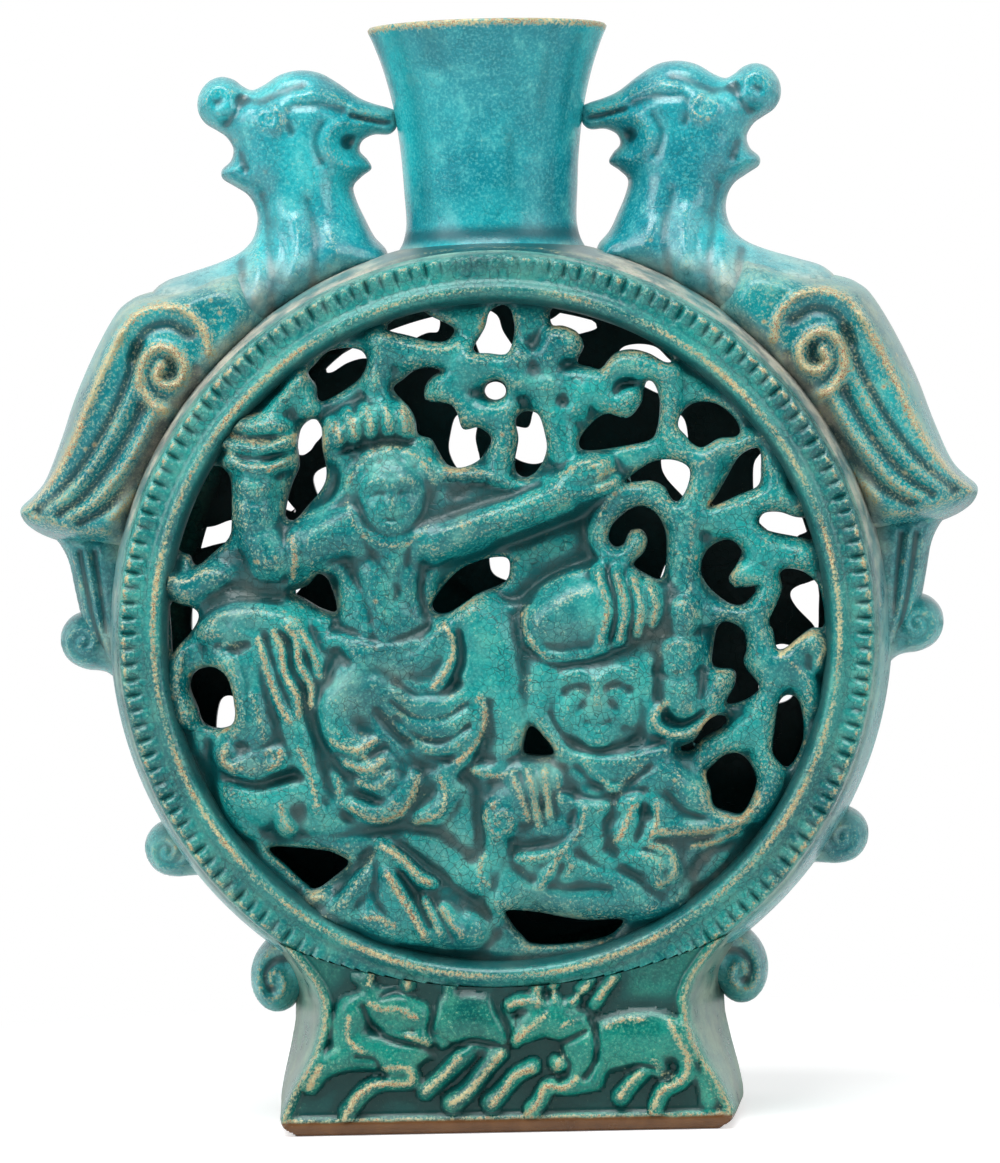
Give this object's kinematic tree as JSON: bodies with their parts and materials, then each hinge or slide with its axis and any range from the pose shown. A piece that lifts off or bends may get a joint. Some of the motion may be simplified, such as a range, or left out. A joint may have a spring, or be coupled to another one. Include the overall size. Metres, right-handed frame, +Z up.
{
  "type": "pierced moon-flask vase",
  "caption": "Pierced moon-flask vase: flat drum with openwork relief panels inside beaded rings, trumpet neck, phoenix-and-wing handles and a splayed hollow foot.",
  "frame": {"origin": "middle of the foot's standing edge", "axes": "+Z up along the neck, -Y out of the front panel, +X to the viewer's right"},
  "size_m": [0.2904, 0.1, 0.33],
  "materials": {
    "drum_glaze": "glossy turquoise glaze gone thin and grey-beige on the shoulders",
    "ring_glaze": "glossy turquoise glaze, cream and rust specks where it breaks on the crest",
    "panel_glaze": "glossy crackled turquoise glaze, dark in the hollows and cream on the ridges",
    "neck_glaze": "glossy turquoise glaze with soft dark smudges, cream at the rim",
    "ornament_glaze": "glossy turquoise glaze, cream on the ridges",
    "foot_glaze": "glossy dark turquoise glaze, cream on the relief, bare brown clay at the standing edge"
  },
  "bodies": {
    "root": {"foot": "foot_glaze", "neck": "neck_glaze", "front_shell": "drum_glaze", "front_bead_ring": "ring_glaze", "front_panel": "panel_glaze", "front_rider": "panel_glaze", "front_horse": "panel_glaze", "front_groom": "panel_glaze", "front_rocks": "panel_glaze", "front_tree": "panel_glaze", "front_deer_leader": "foot_glaze", "front_deer_follower": "foot_glaze", "right_phoenix": "ornament_glaze", "right_wing": "ornament_glaze", "right_tail": "ornament_glaze", "right_scroll_upper": "ornament_glaze", "right_scroll_middle": "ornament_glaze", "right_scroll_lower": "ornament_glaze", "back_shell": "drum_glaze", "back_bead_ring": "ring_glaze", "back_panel": "panel_glaze", "back_rider": "panel_glaze", "back_horse": "panel_glaze", "back_groom": "panel_glaze", "back_rocks": "panel_glaze", "back_tree": "panel_glaze", "back_deer_leader": "foot_glaze", "back_deer_follower": "foot_glaze", "left_phoenix": "ornament_glaze", "left_wing": "ornament_glaze", "left_tail": "ornament_glaze", "left_scroll_upper": "ornament_glaze", "left_scroll_middle": "ornament_glaze", "left_scroll_lower": "ornament_glaze"}
  },
  "joints": []
}
